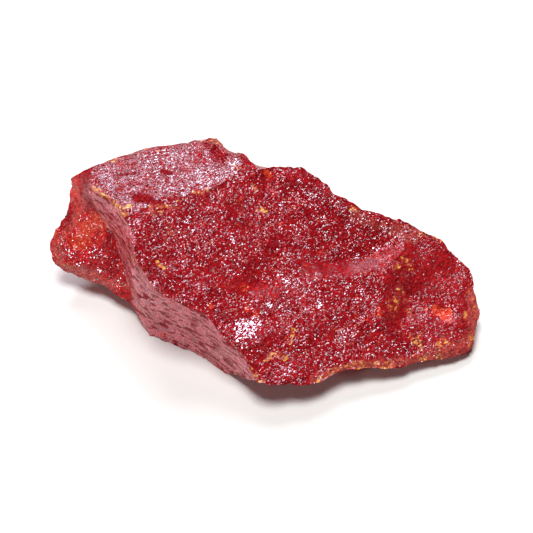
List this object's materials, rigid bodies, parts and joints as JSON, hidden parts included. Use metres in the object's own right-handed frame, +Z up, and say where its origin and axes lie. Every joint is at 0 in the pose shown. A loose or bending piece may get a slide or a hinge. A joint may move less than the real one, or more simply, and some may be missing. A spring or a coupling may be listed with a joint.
{
  "type": "realgar specimen",
  "caption": "Hand specimen of massive realgar: a wedge-shaped broken lump, dark red and sparkling, that lies on a flat fracture.",
  "frame": {"origin": "middle of the lump's box in X and Y, on the plane of the flat fracture that it rests on", "axes": "+X along the lump's length towards its thin edge, +Y towards its steep broken back, +Z up"},
  "size_m": [0.0604, 0.0348, 0.0181],
  "materials": {
    "realgar": "fine-grained hackly fracture with a resinous to adamantine lustre, sparkling cleavage grains and a thin orange-yellow crust on the edges"
  },
  "bodies": {
    "root": {"realgar_lump": "realgar"}
  },
  "joints": []
}
